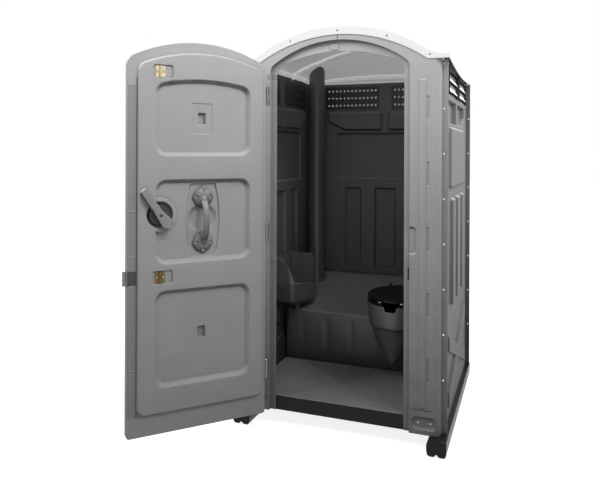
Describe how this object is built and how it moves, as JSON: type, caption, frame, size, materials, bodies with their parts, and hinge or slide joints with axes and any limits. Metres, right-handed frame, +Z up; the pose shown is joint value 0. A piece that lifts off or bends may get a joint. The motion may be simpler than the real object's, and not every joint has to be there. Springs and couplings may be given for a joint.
{
  "type": "portable toilet cabin",
  "caption": "Free-standing moulded toilet cabin on skids with an arched door standing open, a turn latch, a translucent domed roof, a tank deck with a lidded seat, a urinal and a vent pipe.",
  "frame": {"origin": "centre of the cabin's footprint on the ground, under the middle of the floor between the two skids", "axes": "+X to the right seen from the front, +Y from the door side to the back, +Z up"},
  "size_m": [1.551, 1.8939, 2.306],
  "materials": {
    "black_plastic": "fine moulded grain",
    "floor_plastic": "ribbed, worn satin",
    "frame_plastic": "fine moulded grain",
    "wall_plastic": "fine moulded grain",
    "door_plastic": "fine moulded grain",
    "handle_plastic": "satin",
    "dark_plastic": "satin",
    "pipe_plastic": "satin",
    "tank_plastic": "satin",
    "urinal_plastic": "satin",
    "white_plastic": "translucent white, satin",
    "rivet": "satin",
    "steel": "zinc plated",
    "hinge_metal": "satin",
    "brass": "worn, polished",
    "paper": "soft tissue"
  },
  "bodies": {
    "cabin": {"skid_left": "black_plastic", "skid_right": "black_plastic", "skid_bolts": "steel", "base_pan": "black_plastic", "floor_mat": "floor_plastic", "front_frame_left": "frame_plastic", "front_frame_right": "frame_plastic", "wall_right": "wall_plastic", "wall_left": "wall_plastic", "wall_back": "wall_plastic", "front_corner_rivets": "rivet", "back_corner_rivets": "rivet", "roof_lip_rivets": "steel", "roof_dome": "white_plastic", "hinge_frame_leaves": "hinge_metal", "stop_tag": "frame_plastic", "foot_pocket_screws": "steel", "waste_tank": "tank_plastic", "bowl_liner": "black_plastic", "toilet_seat": "black_plastic", "lid_hinge_pin": "steel", "lid_hinge_posts": "black_plastic", "vent_pipe": "pipe_plastic", "vent_pipe_foot": "pipe_plastic", "vent_cap": "pipe_plastic", "urinal": "urinal_plastic", "urinal_strainer": "steel", "urinal_drain_pipe": "pipe_plastic", "paper_bracket": "handle_plastic", "paper_spindle": "handle_plastic", "vent_grille_right_a": "dark_plastic", "vent_grille_right_b": "dark_plastic", "vent_grille_left_a": "dark_plastic", "vent_grille_left_b": "dark_plastic", "vent_grille_back_a": "dark_plastic", "vent_grille_back_b": "dark_plastic"},
    "door": {"door_inner_skin": "door_plastic", "door_outer_skin": "door_plastic", "grab_handle": "handle_plastic", "grab_handle_screws": "steel", "latch_boss": "dark_plastic", "outside_pull_handle": "handle_plastic", "outside_pull_screws": "steel", "brass_plate_upper": "brass", "brass_plate_lower": "brass", "brass_plate_screws": "brass", "hasp_tab": "hinge_metal", "hinge_door_leaves": "hinge_metal", "hinge_pins": "steel"},
    "latch": {"latch_lever": "handle_plastic", "latch_spindle": "steel", "lever_screw": "steel", "outside_turn_knob": "handle_plastic"},
    "lid": {"toilet_lid": "black_plastic", "lid_bumpers": "white_plastic"},
    "roll_near": {"paper_roll_near": "paper"},
    "roll_far": {"paper_roll_far": "paper"}
  },
  "joints": [
    {"name": "door_hinge", "type": "hinge", "parent": "cabin", "child": "door", "pos_m": [-0.4085, -0.6345, 1.105], "axis": [0, 0, 1], "range_deg": [-32.7, 132.3]},
    {"name": "latch_turn", "type": "hinge", "parent": "door", "child": "latch", "pos_m": [-0.80802, -1.12409, 1.231], "axis": [0.7396, -0.673, 0], "range_deg": [0, 55]},
    {"name": "lid_hinge", "type": "hinge", "parent": "cabin", "child": "lid", "pos_m": [0.204, 0.318, 0.6518], "axis": [-1, 0, 0], "range_deg": [0, 100]},
    {"name": "roll_near_spin", "type": "hinge", "parent": "cabin", "child": "roll_near", "pos_m": [0.495, -0.067, 0.83], "axis": [0, 1, 0], "continuous": true},
    {"name": "roll_far_spin", "type": "hinge", "parent": "cabin", "child": "roll_far", "pos_m": [0.495, 0.037, 0.83], "axis": [0, 1, 0], "continuous": true}
  ]
}
